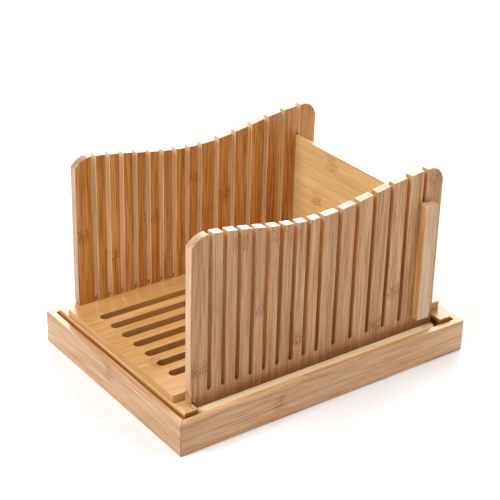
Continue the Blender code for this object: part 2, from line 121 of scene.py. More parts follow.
SCREW_X = 0.1616
SCREW_YS = (-0.084, -0.030, 0.030, 0.084)
SCREW_TIP = 0.0464
SCREW_HEAD = 0.0204
HEAD_RADIUS = 0.0038
HEAD_HEIGHT = 0.0026
SHANK_RADIUS = 0.0018
CLEARANCE = 0.0003


# Small forms that only the picture has

WALL_ARRIS = 0.0010
BOARD_ARRIS = 0.0007
BATTEN_ARRIS = 0.0008
RAIL_ARRIS = 0.0005
STOP_ARRIS = 0.0001
GUIDE_ARRIS = 0.0008
PANEL_ARRIS = 0.0005
CLEAT_ARRIS = 0.0009
ARRIS_SEGMENTS = 3

# Shares of the full rounding
CORNER_SHARE = 0.75
MITRE_SHARE = 0.22
TINE_SHARE = 0.4

HEAD_EDGE = 0.0002
SMOOTH_SHANK = 0.008
THREAD_PITCH = 0.0014
ROOT_RADIUS = 0.0012
POINT_LENGTH = 0.003
RECESS_HALF = (0.0021, 0.00042)
RECESS_HEIGHTS = (-0.001, 0.0013)
RECESS_TAPER = 0.35

# Steps of the arcs
TURN_STEPS = 40
ROD_STEPS = 24
ROUND_STEPS = 16
LIP_STEPS = 20
FOOT_STEPS = 28
SLOT_STEPS = 14
CREST_STEPS = 24
TINE_STEPS = 6

# How far a cutter reaches out of the piece, and how close counts as the same
BEYOND = 0.002
NEAR = 0.001
SAME = 0.0001
MERGED = 0.000001
STRAIGHT = math.radians(0.5)
SHARP = math.radians(40)

# How far in from a guide's ends its faces are rim, and how far up the floors of its slots reach
RIM_REACH = 0.01

# How square a face or an edge is to an axis, from 0 to 1
PARALLEL = 0.99
FLAT = 0.97
UPWARD = 0.9
ENDWAYS = 0.8
LEVEL = 0.5
ASLANT = 0.2


# Shapes

def frozen(thing):
    """The evaluated mesh of an object, in the row frame, in its place."""
    bpy.context.view_layer.update()
    graph = bpy.context.evaluated_depsgraph_get()
    mesh = bpy.data.meshes.new_from_object(thing.evaluated_get(graph))
    mesh.transform(thing.matrix_world)
    solid = bpy.data.objects.new(thing.name, mesh)
    bpy.context.scene.collection.objects.link(solid)
    bpy.data.objects.remove(thing, do_unlink=True)
    return solid


def linked(made, name):
    """An object of the shape that was made, in the scene."""
    mesh = bpy.data.meshes.new(name)
    made.to_mesh(mesh)
    made.free()
    thing = bpy.data.objects.new(mesh.name, mesh)
    bpy.context.scene.collection.objects.link(thing)
    return thing


TURNS = {"X": (math.pi / 2, 0, math.pi / 2), "Y": (math.pi / 2, 0, 0), "Z": (0, 0, 0)}
WAYS = {"X": Vector((1, 0, 0)), "Y": Vector((0, 1, 0)), "Z": Vector((0, 0, 1))}


def plate(loops, thickness, middle, axis):
    """A solid of one section, which is drawn square to an axis."""
    outline = bpy.data.curves.new("outline", "CURVE")
    outline.dimensions = "2D"
    outline.fill_mode = "BOTH"
    outline.extrude = thickness / 2
    for loop in loops:
        spline = outline.splines.new("POLY")
        spline.points.add(len(loop) - 1)
        for point, (u, v) in zip(spline.points, loop):
            point.co = (u, v, 0, 1)
        spline.use_cyclic_u = True
    drawn = bpy.data.objects.new("outline", outline)
    drawn.location = WAYS[axis] * middle
    drawn.rotation_euler = TURNS[axis]
    bpy.context.scene.collection.objects.link(drawn)
    solid = frozen(drawn)
    merged = bmesh.new()
    merged.from_mesh(solid.data)
    bmesh.ops.remove_doubles(merged, verts=merged.verts, dist=MERGED)
    bmesh.ops.dissolve_limit(
        merged, angle_limit=STRAIGHT, verts=merged.verts, edges=merged.edges)
    bmesh.ops.recalc_face_normals(merged, faces=merged.faces)
    merged.to_mesh(solid.data)
    merged.free()
    return solid


def block(low, high):
    made = bmesh.new()
    bmesh.ops.create_cube(made, size=1)
    for vertex in made.verts:
        for way in range(3):
            vertex.co[way] = low[way] if vertex.co[way] < 0 else high[way]
    return linked(made, "block")


def turned(profile, x, y):
    """A shape turned about an upright axis, from its radii and heights."""
    made = bmesh.new()
    rings = []
    for radius, z in profile:
        if radius == 0:
            rings.append([made.verts.new((x, y, z))])
            continue
        ring = []
        for step in range(TURN_STEPS):
            angle = 2 * math.pi * step / TURN_STEPS
            place = (x + radius * math.cos(angle), y + radius * math.sin(angle), z)
            ring.append(made.verts.new(place))
        rings.append(ring)
    for lower, upper in zip(rings, rings[1:]):
        for step in range(TURN_STEPS):
            after = (step + 1) % TURN_STEPS
            if len(lower) == 1:
                made.faces.new((lower[0], upper[step], upper[after]))
            elif len(upper) == 1:
                made.faces.new((lower[step], lower[after], upper[0]))
            else:
                made.faces.new((lower[step], lower[after], upper[after], upper[step]))
    bmesh.ops.recalc_face_normals(made, faces=made.faces)
    return linked(made, "turned")


def rod_x(radius, low, high, y, z):
    section = []
    for step in range(ROD_STEPS):
        angle = 2 * math.pi * step / ROD_STEPS
        section.append((y + radius * math.cos(angle), z + radius * math.sin(angle)))
    return plate([section], high - low, (low + high) / 2, "X")


def joined(things):
    made = bmesh.new()
    for thing in things:
        made.from_mesh(thing.data)
        bpy.data.objects.remove(thing, do_unlink=True)
    return linked(made, "joined")


def arc(centre_u, centre_v, radius, start, end, steps):
    """Points on an arc, from the start angle to the end angle, in degrees."""
    points = []
    for step in range(steps + 1):
        angle = math.radians(start + (end - start) * step / steps)
        points.append((centre_u + radius * math.cos(angle), centre_v + radius * math.sin(angle)))
    return points


def rounded(thing, width, weights=None):
    """The piece with rounded arrises, each by the share that weights(start, end) gives it."""
    bevel = thing.modifiers.new("arrises", "BEVEL")
    bevel.width = width
    bevel.segments = ARRIS_SEGMENTS
    bevel.limit_method = "ANGLE"
    bevel.angle_limit = SHARP
    if weights is not None:
        bevel.limit_method = "WEIGHT"
        layer = thing.data.attributes.new("bevel_weight_edge", "FLOAT", "EDGE")
        points = [vertex.co for vertex in thing.data.vertices]
        for edge in thing.data.edges:
            start, end = edge.vertices
            layer.data[edge.index].value = weights(points[start], points[end])
    return frozen(thing)


def without(thing, cutter):
    """The piece with the cutter's shape taken out."""
    boolean = thing.modifiers.new("cut", "BOOLEAN")
    boolean.operation = "DIFFERENCE"
    boolean.solver = "EXACT"
    boolean.object = cutter
    made = frozen(thing)
    bpy.data.objects.remove(cutter, do_unlink=True)
    return made


def dress(thing, name, body, look):
    """Names a finished piece, shades it, and lets it ride in the node's place."""
    thing.name = name
    thing.data.name = name
    thing.data.shade_smooth()
    thing.data.set_sharp_from_angle(angle=SHARP)
    even = thing.modifiers.new("even shading", "WEIGHTED_NORMAL")
    even.keep_sharp = True
    thing.data.materials.clear()
    thing.data.materials.append(look)
    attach(thing, body)
    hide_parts(name)


def add_look(thing, look, chosen):
    """Gives one more finish to the faces of a dressed piece that chosen(face) names."""
    index = len(thing.data.materials)
    thing.data.materials.append(look)
    for face in thing.data.polygons:
        if chosen(face):
            face.material_index = index


# Tints of the bamboo, as the photograph's light shows it on each piece

END_TINT = (0.478, 0.288, 0.156)
SIDE_TINT = (0.557, 0.323, 0.168)
TOP_LIGHT_TINT = (0.610, 0.360, 0.185)
RIGHT_TINT = (0.512, 0.273, 0.125)
RIGHT_END_LIGHT_TINT = (0.547, 0.339, 0.204)
LEFT_INNER_SHADE_TINT = (0.547, 0.243, 0.065)
LEFT_SAWN_LIT_TINT = (0.632, 0.421, 0.224)
LEFT_END_SHADE_TINT = (0.380, 0.233, 0.135)
ARRIS_HIGHLIGHT_TINT = (0.860, 0.670, 0.420)
PANEL_TINT = (0.615, 0.409, 0.184)
BOARD_TINT = (0.582, 0.315, 0.114)
BOARD_END_SHADE_TINT = (0.474, 0.250, 0.100)
CLEAT_TINT = (0.622, 0.413, 0.274)
CLEAT_SIDE_SHADE_TINT = (0.521, 0.266, 0.098)
FRAME_TINT = (0.642, 0.412, 0.173)
BATTEN_END_SHADE_TINT = (0.340, 0.125, 0.022)
RAIL_TINT = (0.790, 0.565, 0.330)
CROWN_HIGHLIGHT_TINT = (0.920, 0.730, 0.480)

# Width and depth of the strips that each piece is glued from, in millimetres
WALL_STRIPS = (14.0, 8.3)
BOARD_STRIPS = (20.0, 8.9)
BATTEN_STRIPS = (8.0, 11.0)
RAIL_STRIPS = (7.0, 12.0)
STOP_STRIPS = (6.0, 5.0)
GUIDE_STRIPS = (17.0, 30.0)
PANEL_STRIPS = (19.0, 30.0)
CLEAT_STRIPS = (8.0, 6.0)
JOINT_STRIPS = (6.0, 6.0)
FLOOR_STRIPS = (22.0, 9.0)

# Strength of the grain
CALM = 0.6
USUAL = 1.0
LIVELY = 1.15
STRONG = 1.5

# Share of the strips with a knuckle of their own, and the painted shade low down where light is
# blocked: its heights in millimetres, and its colour
USUAL_CHANCE = 0.15
GUIDE_PAINTED_SHADE_HEIGHTS = (32.0, 50.0)
BATTEN_PAINTED_SHADE_HEIGHTS = (35.0, 38.5)
PAINTED_FOOT_SHADE = (0.58, 0.35, 0.20, 1)

# A placed knuckle: how far it leans, and where it fades out and is full, in millimetres
KNUCKLE_LEAN = -0.45
KNUCKLE_ALONG = (12.0, 3.0)
KNUCKLE_ACROSS = (9.4, 8.0)

# Knuckles by chance: their spacing and fading in millimetres, and how they lean and spread
CHANCE_SPACING = 235.0
CHANCE_SPREAD = 7.0
CHANCE_LEAN = 0.5
CHANCE_ALONG = (7.0, 1.0)

# Numbers that keep the strips' noises apart
LAYER_SHIFT = 3.7
LAYER_STEP = 31.7
STRIP_SHIFT = 90.0

# Length and width of the figures in the grain in millimetres, and their detail
FINE = (45.0, 0.85, 2.0)
STREAK = (75.0, 2.1, 2.0)
BROAD = (110.0, 6.0, 1.0)
BLOTCH = (48.0, 5.0, 2.0)
WANDER = 2.4
WANDER_ALONG = 0.010
WANDER_ACROSS = 0.05
DASH_ALONG = 0.22
DASH_WIDTH = 0.9

# How the streaks and broad figures add up
STREAK_SHARE = 0.65
BROAD_SHARE = 0.45

# A knuckle's dashes: their slopes and places in the noise, and how much its band brings them out
MARK_DASHES = ((0.25, 0.0), (-0.25, 40.0))
FLECK_DASHES = (0.15, 70.0)
MARK_HELP = 0.12
FLECK_HELP = 0.10

# Where a distance or a noise starts to show as a mark, and where it shows in full
SEAM_EDGE = (0.26, 0.02)
LINE_EDGE = (0.50, 0.68)
TONE_EDGE = (0.36, 0.76)
BLOTCH_EDGE = (0.36, 0.64)
DASH_EDGE = (0.66, 0.76)
BAND_EDGE = (0.02, 0.35)

# Powers that the tint is raised to: for sparse fibres, and what streaks and lines add
SPARSE = 0.83
TONE_POWER = 0.29
LINE_POWER = 0.33

# Shades that multiply the tint
TONE_SHADES = ((1.05, 1.05, 1.05, 1), (0.95, 0.95, 0.95, 1))
BLOTCH_SHADES = ((1.02, 0.995, 1.06, 1), (0.985, 1.005, 0.92, 1))
STRIP_SHADES = ((1.06, 1.05, 1.03, 1), (0.93, 0.90, 0.86, 1))
LINE_SHADES = ((1.03, 1.03, 1.03, 1), (0.91, 0.91, 0.91, 1))
SEAM_SHADE = (0.74, 0.70, 0.66, 1)
BAND_SHADE = (0.92, 0.83, 0.84, 1)
MARK_SHADE = (0.62, 0.48, 0.36, 1)
FLECK_SHADE = (1.18, 1.20, 1.28, 1)
SEAM_SHARE = 0.7
BAND_SHARE = 0.6

# Surface: roughness, the depth of each mark in the bump, and the shader's own values
GLOSS = 0.33
LINE_GLOSS = 0.08
FINE_DEPTH = -0.5
STREAK_DEPTH = -0.3
SEAM_DEPTH = -0.5
MARK_DEPTH = -0.6
BUMP_STRENGTH = 0.30
BUMP_DISTANCE = 0.0002
WOOD_IOR = 1.42
SAWN_SPECULAR = 0.12
MILLIMETRES = 1000.0

# Steel and the table's paper
STEEL_SHADES = ((0.70, 0.69, 0.66, 1), (0.50, 0.50, 0.49, 1))
STEEL_GLOSS = 0.18
CLOUD_SCALE = 900.0
CLOUD_DETAIL = 3.0
CLOUD_EDGE = (0.35, 0.70)
CLOUD_GLOSS = 0.30
TURNING_SCALE = 2200.0
TURNING_WAVE = 1.5
TURNING_STRENGTH = 0.2
TURNING_DEPTH = 0.00005
PAPER_SHADES = ((0.90, 0.90, 0.90, 1), (0.93, 0.93, 0.93, 1))
PAPER_SCALE = 60.0
PAPER_DETAIL = 4.0
PAPER_GLOSS = 0.9
PAPER_SPECULAR = 0.1


# Materials

class Graph:
    """Adds nodes to one tree. A value is a number, a colour or another node's socket."""

    def __init__(self, tree):
        self.tree = tree

    def feed(self, socket, value):
        if isinstance(value, bpy.types.NodeSocket):
            self.tree.links.new(value, socket)
        else:
            socket.default_value = value

    def add(self, kind, inputs=None, **settings):
        made = self.tree.nodes.new(kind)
        for key, value in settings.items():
            setattr(made, key, value)
        for socket, value in (inputs or {}).items():
            self.feed(made.inputs[socket], value)
        return made

    def calc(self, operation, *values):
        made = self.add("ShaderNodeMath", operation=operation)
        for socket, value in zip(made.inputs, values):
            self.feed(socket, value)
        return made.outputs[0]

    def step(self, value, low, high):
        """0 below low and 1 above high, or the other way round, with a smooth turn."""
        made = self.add("ShaderNodeMapRange", {"Value": value}, interpolation_type="SMOOTHSTEP")
        flip = low > high
        self.feed(made.inputs["From Min"], min(low, high))
        self.feed(made.inputs["From Max"], max(low, high))
        self.feed(made.inputs["To Min"], 1.0 if flip else 0.0)
        self.feed(made.inputs["To Max"], 0.0 if flip else 1.0)
        return made.outputs["Result"]

    def noise(self, along, across, depth, detail):
        place = self.add("ShaderNodeCombineXYZ", {"X": along, "Y": across, "Z": depth}).outputs[0]
        made = self.add("ShaderNodeTexNoise", {"Vector": place, "Scale": 1.0, "Detail": detail})
        return made.outputs["Fac"]

    def mix(self, factor, first, second, blend="MIX"):
        made = self.add("ShaderNodeMix", data_type="RGBA", blend_type=blend)
        for index, value in ((0, factor), (6, first), (7, second)):
            self.feed(made.inputs[index], value)
        return made.outputs[2]

    def times(self, colour, shade):
        return self.mix(1.0, colour, shade, "MULTIPLY")

    def stained(self, colour, shade, share):
        """The colour, multiplied by the shade where the share is 1, and as it was where it is 0."""
        return self.mix(share, colour, self.times(colour, shade))


def new_group(name, inputs, outputs):
    tree = bpy.data.node_groups.new(name, "ShaderNodeTree")
    for way, sockets in (("INPUT", inputs), ("OUTPUT", outputs)):
        for label, kind in sockets:
            tree.interface.new_socket(name=label, in_out=way, socket_type="NodeSocket" + kind)
    graph = Graph(tree)
    return tree, graph, graph.add("NodeGroupInput").outputs


def new_material(name):
    made = bpy.data.materials.new(name)
    made.use_nodes = True
    graph = Graph(made.node_tree)
    where = graph.add("ShaderNodeTexCoord").outputs["Object"]
    return made, graph, made.node_tree.nodes["Principled BSDF"], where


def knuckle_group():
    """Where a knuckle crosses a strip: 1 in the middle of its band and 0 outside."""
    labels = ("Along", "Across", "At along", "At across", "Before")
    floats = [(label, "Float") for label in labels]
    tree, graph, given = new_group("knuckle", floats, [("Inside", "Float")])
    aside = graph.calc("ABSOLUTE", graph.calc("SUBTRACT", given["Across"], given["At across"]))
    reach = graph.calc("SUBTRACT", given["Along"], given["At along"])
    reach = graph.calc("ABSOLUTE", graph.calc("MULTIPLY_ADD", aside, KNUCKLE_LEAN, reach))
    band = graph.calc(
        "MULTIPLY", graph.step(reach, *KNUCKLE_ALONG), graph.step(aside, *KNUCKLE_ACROSS))
    out = graph.add("NodeGroupOutput")
    graph.feed(out.inputs["Inside"], graph.calc("MAXIMUM", band, given["Before"]))
    return tree


def bamboo_group():
    """Laminated bamboo: strips, fibre bundles along the grain, and knuckles."""
    labels = ("Strip", "Ply", "Seed", "Knuckle", "Chance", "Figure")
    floats = [(label, "Float") for label in labels]
    tree, graph, given = new_group(
        "bamboo", [("Place", "Vector"), ("Tint", "Color")] + floats,
        [("Colour", "Color"), ("Roughness", "Float"), ("Normal", "Vector")])
    place = graph.add("ShaderNodeSeparateXYZ", {"Vector": given["Place"]}).outputs
    along, across, depth = place

    # Which strip a point is in, and how far it is from the glue line
    row = graph.calc("ADD", graph.calc("DIVIDE", across, given["Strip"]), given["Seed"])
    layer = graph.calc("DIVIDE", depth, given["Ply"])
    layer = graph.calc("ADD", layer, graph.calc("MULTIPLY", given["Seed"], LAYER_SHIFT))
    layer = graph.calc("MULTIPLY", graph.calc("FLOOR", layer), LAYER_STEP)
    strip = graph.calc("ADD", graph.calc("FLOOR", row), layer)
    chance = graph.add("ShaderNodeTexWhiteNoise", {"W": strip}, noise_dimensions="1D")
    shares = graph.add("ShaderNodeSeparateColor", {"Color": chance.outputs["Color"]}).outputs
    edge = graph.calc("PINGPONG", row, 0.5)
    seam = graph.step(graph.calc("MULTIPLY", edge, given["Strip"]), *SEAM_EDGE)

    # Fibres, which wander a little and don't run on into the next strip
    shift = graph.calc("MULTIPLY", chance.outputs["Value"], STRIP_SHIFT)
    wander = graph.noise(
        graph.calc("MULTIPLY_ADD", along, WANDER_ALONG, shift),
        graph.calc("MULTIPLY", across, WANDER_ACROSS), 0.0, 1.0)
    side = graph.calc("MULTIPLY_ADD", wander, WANDER, across)

    def fibre(length, width, detail):
        return graph.noise(
            graph.calc("MULTIPLY_ADD", along, 1 / length, shift),
            graph.calc("DIVIDE", side, width),
            graph.calc("DIVIDE", depth, width), detail)

    fine = fibre(*FINE)
    streak = fibre(*STREAK)
    broad = fibre(*BROAD)
    blotch = fibre(*BLOTCH)
    line = graph.step(fine, *LINE_EDGE)

    # Knuckles: the placed ones, and one by chance on a few strips, in a zigzag across the strip
    turn = graph.calc("DIVIDE", along, CHANCE_SPACING)
    turn = graph.calc("ADD", turn, graph.calc("MULTIPLY", shares["Green"], CHANCE_SPREAD))
    sideways = graph.calc("ABSOLUTE", graph.calc("SUBTRACT", edge, 0.25))
    sideways = graph.calc("MULTIPLY", sideways, given["Strip"])
    reach = graph.calc("MULTIPLY", graph.calc("PINGPONG", turn, 0.5), CHANCE_SPACING)
    reach = graph.calc("MULTIPLY_ADD", sideways, CHANCE_LEAN, reach)
    there = graph.calc("LESS_THAN", shares["Blue"], given["Chance"])
    band = graph.calc("MULTIPLY", graph.step(reach, *CHANCE_ALONG), there)
    band = graph.calc("MAXIMUM", band, given["Knuckle"])

    # The marks that a knuckle is made of: short dashes along the grain
    def dashes(slope, offset):
        slanted = graph.calc("MULTIPLY_ADD", along, slope, side)
        return graph.noise(
            graph.calc("MULTIPLY_ADD", along, DASH_ALONG, graph.calc("ADD", shift, offset)),
            graph.calc("DIVIDE", slanted, DASH_WIDTH),
            graph.calc("DIVIDE", depth, DASH_WIDTH), 1.0)

    def in_band(speck, help_there):
        mark = graph.step(graph.calc("MULTIPLY_ADD", band, help_there, speck), *DASH_EDGE)
        return graph.calc("MULTIPLY", mark, graph.step(band, *BAND_EDGE))

    rising, falling = MARK_DASHES
    mark = in_band(graph.calc("MAXIMUM", dashes(*rising), dashes(*falling)), MARK_HELP)
    fleck = in_band(dashes(*FLECK_DASHES), FLECK_HELP)

    # Where the fibres are dense, the tint is raised to a higher power
    tone = graph.calc("MULTIPLY", broad, BROAD_SHARE)
    tone = graph.calc("ADD", graph.calc("MULTIPLY", streak, STREAK_SHARE), tone)
    tone = graph.calc("SUBTRACT", graph.step(tone, *TONE_EDGE), 0.5)
    tone = graph.calc("MULTIPLY_ADD", tone, given["Figure"], 0.5)
    line_share = graph.calc("MULTIPLY", line, given["Figure"])
    density = graph.calc("MULTIPLY_ADD", line_share, LINE_POWER, SPARSE)
    density = graph.calc("MULTIPLY_ADD", tone, TONE_POWER, density)
    dense = graph.add("ShaderNodeGamma", {"Color": given["Tint"], "Gamma": density}).outputs[0]

    colour = graph.mix(tone, *TONE_SHADES)
    colour = graph.times(colour, graph.mix(graph.step(blotch, *BLOTCH_EDGE), *BLOTCH_SHADES))
    colour = graph.times(colour, graph.mix(shares["Red"], *STRIP_SHADES))
    colour = graph.times(colour, dense)
    colour = graph.times(colour, graph.mix(line_share, *LINE_SHADES))
    colour = graph.stained(colour, SEAM_SHADE, graph.calc("MULTIPLY", seam, SEAM_SHARE))
    colour = graph.stained(colour, BAND_SHADE, graph.calc("MULTIPLY", band, BAND_SHARE))
    colour = graph.stained(colour, MARK_SHADE, mark)
    colour = graph.stained(colour, FLECK_SHADE, fleck)

    gloss = graph.calc("MULTIPLY_ADD", line, LINE_GLOSS, GLOSS)
    height = graph.calc("MULTIPLY", streak, STREAK_DEPTH)
    height = graph.calc("MULTIPLY_ADD", fine, FINE_DEPTH, height)
    height = graph.calc("MULTIPLY_ADD", seam, SEAM_DEPTH, height)
    height = graph.calc("MULTIPLY_ADD", mark, MARK_DEPTH, height)
    bump = graph.add("ShaderNodeBump", {
        "Strength": BUMP_STRENGTH, "Distance": BUMP_DISTANCE, "Height": height})

    out = graph.add("NodeGroupOutput")
    graph.feed(out.inputs["Colour"], colour)
    graph.feed(out.inputs["Roughness"], gloss)
    graph.feed(out.inputs["Normal"], bump.outputs["Normal"])
    return tree


KNUCKLE = knuckle_group()
BAMBOO = bamboo_group()

# The axes along the fibres, across the strips and through them
GRAIN = {
    "X": ("X", "Y", "Z"),
    "Y": ("Y", "Z", "X"),
    "Z": ("Z", "X", "Y"),
    "XZ": ("X", "Z", "Y"),
    "YX": ("Y", "X", "Z"),
}


def bamboo(name, grain, strips, seed, tint, knuckles=(), chance=USUAL_CHANCE, figure=USUAL,
           sawn=False, foot=None):
    """A bamboo finish. Its grain names the axis of the fibres, and then that of the strips.

    Strips and the knuckles' places, along and across the grain, are in millimetres.
    A sawn face is dull, the others are sanded and oiled. A painted shade darkens the wood low down,
    where light is blocked, fully below the foot's first height and not at all above its second one."""
    made, graph, shader, where = new_material(name)
    where = graph.add("ShaderNodeVectorMath", {0: where, "Scale": MILLIMETRES}, operation="SCALE")
    split = graph.add("ShaderNodeSeparateXYZ", {"Vector": where.outputs[0]}).outputs
    along, across, depth = (split[axis] for axis in GRAIN[grain])
    place = graph.add("ShaderNodeCombineXYZ", {"X": along, "Y": across, "Z": depth}).outputs[0]
    inside = 0.0
    for at_along, at_across in knuckles:
        inside = graph.add("ShaderNodeGroup", {
            "Along": along, "Across": across, "At along": at_along, "At across": at_across,
            "Before": inside}, node_tree=KNUCKLE).outputs["Inside"]
    strip, ply = strips
    wood = graph.add("ShaderNodeGroup", {
        "Place": place, "Tint": (*tint, 1), "Strip": strip, "Ply": ply, "Seed": seed,
        "Knuckle": inside, "Chance": chance, "Figure": figure}, node_tree=BAMBOO).outputs
    colour = wood["Colour"]
    # Painted shade: darker towards the bottom, for the light that is blocked near the foot
    if foot is not None:
        full, none = foot
        colour = graph.stained(colour, PAINTED_FOOT_SHADE, graph.step(split["Z"], none, full))
    graph.feed(shader.inputs["Base Color"], colour)
    graph.feed(shader.inputs["Roughness"], wood["Roughness"])
    graph.feed(shader.inputs["Normal"], wood["Normal"])
    shader.inputs["IOR"].default_value = WOOD_IOR
    if sawn:
        shader.inputs["Specular IOR Level"].default_value = SAWN_SPECULAR
    return made


def steel(name):
    """Zinc-plated steel, a little uneven, with fine turning lines."""
    made, graph, shader, where = new_material(name)
    cloud = graph.add("ShaderNodeTexNoise", {
        "Vector": where, "Scale": CLOUD_SCALE, "Detail": CLOUD_DETAIL}).outputs["Fac"]
    lines = graph.add(
        "ShaderNodeTexWave",
        {"Vector": where, "Scale": TURNING_SCALE, "Distortion": TURNING_WAVE},
        wave_type="BANDS", bands_direction="Z").outputs["Fac"]
    colour = graph.mix(graph.step(cloud, *CLOUD_EDGE), *STEEL_SHADES)
    gloss = graph.calc("MULTIPLY_ADD", cloud, CLOUD_GLOSS, STEEL_GLOSS)
    graph.feed(shader.inputs["Base Color"], colour)
    graph.feed(shader.inputs["Roughness"], gloss)
    bump = graph.add("ShaderNodeBump", {
        "Strength": TURNING_STRENGTH, "Distance": TURNING_DEPTH, "Height": lines})
    graph.feed(shader.inputs["Normal"], bump.outputs["Normal"])
    shader.inputs["Metallic"].default_value = 1.0
    return made


# Crumb tray

def wall_edges(axis):
    """Full rounding along a wall, less of it at its outer corners, and hardly any at its mitres."""
    way = WAYS[axis]

    def weight(first, second):
        run = second - first
        if abs(run.dot(way)) > PARALLEL * run.length:
            return 1.0
        at_end = abs(first.x) > TRAY_LENGTH / 2 - NEAR
        at_side = abs(first.y) > TRAY_WIDTH / 2 - NEAR
        upright = abs(run.z) > PARALLEL * run.length
        return CORNER_SHARE if upright and at_end and at_side else MITRE_SHARE
    return weight


def end_wall_plan(side):
    outer = side * TRAY_LENGTH / 2
    inner = side * (TRAY_LENGTH / 2 - TRAY_WALL)
    outer_half = TRAY_WIDTH / 2 - MITRE_PULL
    inner_half = outer_half - TRAY_WALL
    return [(outer, -outer_half), (inner, -inner_half), (inner, inner_half), (outer, outer_half)]


def side_wall_plan(side):
    outer = side * TRAY_WIDTH / 2
    inner = side * (TRAY_WIDTH / 2 - TRAY_WALL)
    outer_half = TRAY_LENGTH / 2 - MITRE_PULL
    inner_half = outer_half - TRAY_WALL
    return [(-outer_half, outer), (-inner_half, inner), (inner_half, inner), (outer_half, outer)]


def spline_slots():
    half_length, half_width = SPLINE_SLOT
    low, high = SPLINE_HEIGHTS
    keys = []
    for x_side in (-1, 1):
        for y_side in (-1, 1):
            key = block((-half_length, -half_width, low), (half_length, half_width, high))
            turn = Matrix.Rotation(math.radians(-45 * x_side * y_side), 4, "Z")
            place = Matrix.Translation((x_side * SPLINE_X, y_side * SPLINE_Y, 0))
            key.data.transform(place @ turn)
            keys.append(key)
    return joined(keys)


def crumb_tray():
    half_length = TRAY_LENGTH / 2 - TRAY_WALL + GROOVE_DEPTH
    half_width = TRAY_WIDTH / 2 - TRAY_WALL + GROOVE_DEPTH
    walls = (
        ("tray_front_wall", end_wall_plan(-1), "Y", "Y", 3.31, END_TINT, [(-1, 25)]),
        ("tray_rear_wall", end_wall_plan(1), "Y", "Y", 8.57, END_TINT, [(52, 14)]),
        ("tray_right_wall", side_wall_plan(-1), "X", "XZ", 5.83, SIDE_TINT, [(-66, 18)]),
        ("tray_left_wall", side_wall_plan(1), "X", "XZ", 1.19, SIDE_TINT, [(83, 16)]),
    )
    for name, plan, axis, grain, seed, tint, knuckles in walls:
        wall = plate([plan], TRAY_HEIGHT, TRAY_HEIGHT / 2, "Z")
        wall = rounded(wall, WALL_ARRIS, wall_edges(axis))
        groove = block(
            (-half_length, -half_width, GROOVE_BOTTOM), (half_length, half_width, GROOVE_TOP))
        wall = without(wall, groove)
        wall = without(wall, spline_slots())
        look = bamboo(name, grain, WALL_STRIPS, seed, tint, knuckles, figure=LIVELY)
        dress(wall, name, "crumb_tray", look)
        # The tops of the walls get a paler tint of their own: painted light from above
        add_look(
            wall, bamboo(name + "_rim_painted_lighting", grain, WALL_STRIPS, seed, TOP_LIGHT_TINT, figure=LIVELY),
            lambda face: face.normal.z > UPWARD and face.center.z > TRAY_HEIGHT - NEAR)


# Slicer base

def crumb_slot(middle_y):
    rear = arc(CRUMB_CENTRE_X, middle_y, CRUMB_HALF_WIDTH, -90, 90, ROUND_STEPS)
    front = arc(-CRUMB_CENTRE_X, middle_y, CRUMB_HALF_WIDTH, 90, 270, ROUND_STEPS)
    return rear + front


def screw_bore(x, y):
    shank = SHANK_RADIUS + CLEARANCE
    head = HEAD_RADIUS + CLEARANCE
    low = BASE_BOTTOM - BEYOND
    return turned([
        (0, SCREW_TIP + CLEARANCE), (shank, SCREW_TIP + CLEARANCE),
        (shank, SCREW_HEAD + HEAD_HEIGHT + CLEARANCE), (head, SCREW_HEAD),
        (head, low), (0, low)], x, y)


def screw_bores(x):
    return joined([screw_bore(x, y) for y in SCREW_YS])


def dowel_holes(side):
    holes = []
    for end in (-1, 1):
        for y in DOWEL_Y:
            middle = end * BATTEN_INNER
            holes.append(rod_x(
                DOWEL_RADIUS + CLEARANCE, middle - DOWEL_REACH, middle + DOWEL_REACH,
                side * y, DOWEL_Z))
    return joined(holes)


def screw(x, y):
    """A countersunk wood screw with a thread and a cross recess."""
    z = SCREW_HEAD + SMOOTH_SHANK
    profile = [
        (0, SCREW_HEAD), (HEAD_RADIUS - HEAD_EDGE, SCREW_HEAD),
        (HEAD_RADIUS, SCREW_HEAD + HEAD_EDGE), (SHANK_RADIUS, SCREW_HEAD + HEAD_HEIGHT),
        (SHANK_RADIUS, z)]
    while z < SCREW_TIP - POINT_LENGTH - THREAD_PITCH:
        profile += [
            (ROOT_RADIUS, z + 0.25 * THREAD_PITCH), (SHANK_RADIUS, z + 0.5 * THREAD_PITCH),
            (ROOT_RADIUS, z + 0.75 * THREAD_PITCH)]
        z += THREAD_PITCH
    profile += [(ROOT_RADIUS, SCREW_TIP - POINT_LENGTH), (0, SCREW_TIP)]
    body = turned(profile, x, y)
    half_length, half_width = RECESS_HALF
    low, high = RECESS_HEIGHTS
    for turn in (45, 135):
        arm = block((-half_length, -half_width, low), (half_length, half_width, high))
        for vertex in arm.data.vertices:
            if vertex.co.z > 0:
                vertex.co.x *= RECESS_TAPER
        place = Matrix.Translation((x, y, SCREW_HEAD))
        arm.data.transform(place @ Matrix.Rotation(math.radians(turn), 4, "Z"))
        body = without(body, arm)
    return body


def rail_section(side):
    round_y = RAIL_OUTSIDE - RAIL_ROUND
    round_z = RAIL_TOP - RAIL_ROUND
    section = [(RAIL_INSIDE, RAIL_BOTTOM), (RAIL_OUTSIDE, RAIL_BOTTOM)]
    section += arc(round_y, round_z, RAIL_ROUND, 0, 90, ROUND_STEPS)
    section += [(RAIL_LIP, RAIL_TOP), (RAIL_LIP, RAIL_LEDGE), (RAIL_INSIDE, RAIL_LEDGE)]
    return [(side * y, z) for y, z in section]


